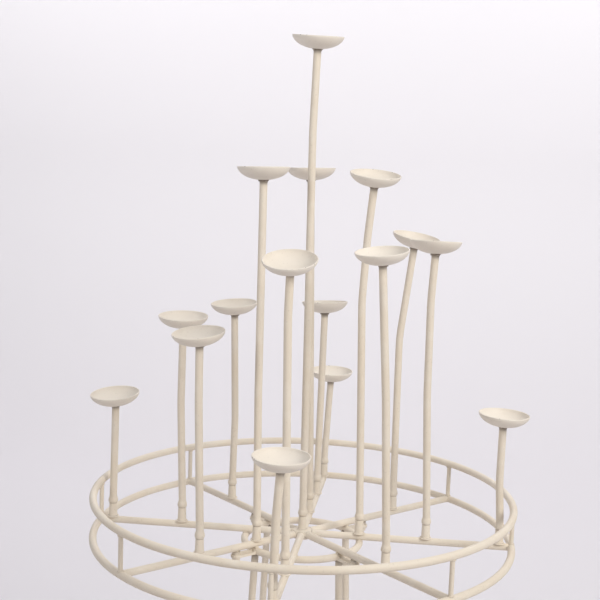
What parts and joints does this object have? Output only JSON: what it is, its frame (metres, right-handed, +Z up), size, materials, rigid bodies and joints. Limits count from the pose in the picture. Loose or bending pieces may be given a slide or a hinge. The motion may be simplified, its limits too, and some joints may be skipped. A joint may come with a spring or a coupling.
{
  "type": "votive candle rack",
  "caption": "Free-standing painted steel candle rack: a spoked double-ring deck on splayed legs, with lift-out candle rods of stepped height that each carry a shallow dish.",
  "frame": {"origin": "on the floor, under the hub, midway between the four feet", "axes": "+Z up; +X along spoke_1; -Y towards the side that the dishes are seen from"},
  "size_m": [0.5908, 0.594, 1.384],
  "materials": {
    "ring_paint": "matte cream powder coat on round steel bar",
    "spoke_paint": "matte cream powder coat on round steel bar",
    "leg_paint": "matte cream powder coat on round steel bar",
    "bolt_paint": "cream paint over zinc-plated studs and nuts",
    "socket_paint": "matte cream powder coat on turned steel",
    "rod_paint": "matte cream powder coat on round steel bar",
    "dish_paint": "satin cream powder coat on spun steel"
  },
  "bodies": {
    "stand": {"lower_ring": "ring_paint", "upper_ring": "ring_paint", "ring_posts": "ring_paint", "hub": "spoke_paint", "spoke_1": "spoke_paint", "spoke_2": "spoke_paint", "spoke_3": "spoke_paint", "spoke_4": "spoke_paint", "spoke_5": "spoke_paint", "spoke_6": "spoke_paint", "spoke_7": "spoke_paint", "spoke_8": "spoke_paint", "leg_ring": "leg_paint", "leg_1": "leg_paint", "leg_2": "leg_paint", "leg_3": "leg_paint", "leg_4": "leg_paint", "tie_ring": "leg_paint", "foot_pads": "leg_paint", "leg_ears": "leg_paint", "ear_studs": "bolt_paint", "ear_nuts": "bolt_paint", "rod_sockets": "socket_paint", "socket_washers": "socket_paint"},
    "candle_holder_01": {"candle_rod_01": "rod_paint", "candle_dish_01": "dish_paint"},
    "candle_holder_02": {"candle_rod_02": "rod_paint", "candle_dish_02": "dish_paint"},
    "candle_holder_03": {"candle_rod_03": "rod_paint", "candle_dish_03": "dish_paint"},
    "candle_holder_04": {"candle_rod_04": "rod_paint", "candle_dish_04": "dish_paint"},
    "candle_holder_05": {"candle_rod_05": "rod_paint", "candle_dish_05": "dish_paint"},
    "candle_holder_06": {"candle_rod_06": "rod_paint", "candle_dish_06": "dish_paint"},
    "candle_holder_07": {"candle_rod_07": "rod_paint", "candle_dish_07": "dish_paint"},
    "candle_holder_08": {"candle_rod_08": "rod_paint", "candle_dish_08": "dish_paint"},
    "candle_holder_09": {"candle_rod_09": "rod_paint", "candle_dish_09": "dish_paint"},
    "candle_holder_10": {"candle_rod_10": "rod_paint", "candle_dish_10": "dish_paint"},
    "candle_holder_11": {"candle_rod_11": "rod_paint", "candle_dish_11": "dish_paint"},
    "candle_holder_12": {"candle_rod_12": "rod_paint", "candle_dish_12": "dish_paint"},
    "candle_holder_13": {"candle_rod_13": "rod_paint", "candle_dish_13": "dish_paint"},
    "candle_holder_14": {"candle_rod_14": "rod_paint", "candle_dish_14": "dish_paint"},
    "candle_holder_15": {"candle_rod_15": "rod_paint", "candle_dish_15": "dish_paint"},
    "candle_holder_16": {"candle_rod_16": "rod_paint", "candle_dish_16": "dish_paint"}
  },
  "joints": [
    {"name": "lift_01", "type": "slide", "parent": "stand", "child": "candle_holder_01", "axis": [0, 0, 1], "range_m": [0, 0.03]},
    {"name": "lift_02", "type": "slide", "parent": "stand", "child": "candle_holder_02", "axis": [0, 0, 1], "range_m": [0, 0.03]},
    {"name": "lift_03", "type": "slide", "parent": "stand", "child": "candle_holder_03", "axis": [0, 0, 1], "range_m": [0, 0.03]},
    {"name": "lift_04", "type": "slide", "parent": "stand", "child": "candle_holder_04", "axis": [0, 0, 1], "range_m": [0, 0.03]},
    {"name": "lift_05", "type": "slide", "parent": "stand", "child": "candle_holder_05", "axis": [0, 0, 1], "range_m": [0, 0.03]},
    {"name": "lift_06", "type": "slide", "parent": "stand", "child": "candle_holder_06", "axis": [0, 0, 1], "range_m": [0, 0.03]},
    {"name": "lift_07", "type": "slide", "parent": "stand", "child": "candle_holder_07", "axis": [0, 0, 1], "range_m": [0, 0.03]},
    {"name": "lift_08", "type": "slide", "parent": "stand", "child": "candle_holder_08", "axis": [0, 0, 1], "range_m": [0, 0.03]},
    {"name": "lift_09", "type": "slide", "parent": "stand", "child": "candle_holder_09", "axis": [0, 0, 1], "range_m": [0, 0.03]},
    {"name": "lift_10", "type": "slide", "parent": "stand", "child": "candle_holder_10", "axis": [0, 0, 1], "range_m": [0, 0.03]},
    {"name": "lift_11", "type": "slide", "parent": "stand", "child": "candle_holder_11", "axis": [0, 0, 1], "range_m": [0, 0.03]},
    {"name": "lift_12", "type": "slide", "parent": "stand", "child": "candle_holder_12", "axis": [0, 0, 1], "range_m": [0, 0.03]},
    {"name": "lift_13", "type": "slide", "parent": "stand", "child": "candle_holder_13", "axis": [0, 0, 1], "range_m": [0, 0.03]},
    {"name": "lift_14", "type": "slide", "parent": "stand", "child": "candle_holder_14", "axis": [0, 0, 1], "range_m": [0, 0.03]},
    {"name": "lift_15", "type": "slide", "parent": "stand", "child": "candle_holder_15", "axis": [0, 0, 1], "range_m": [0, 0.03]},
    {"name": "lift_16", "type": "slide", "parent": "stand", "child": "candle_holder_16", "axis": [0, 0, 1], "range_m": [0, 0.03]}
  ]
}
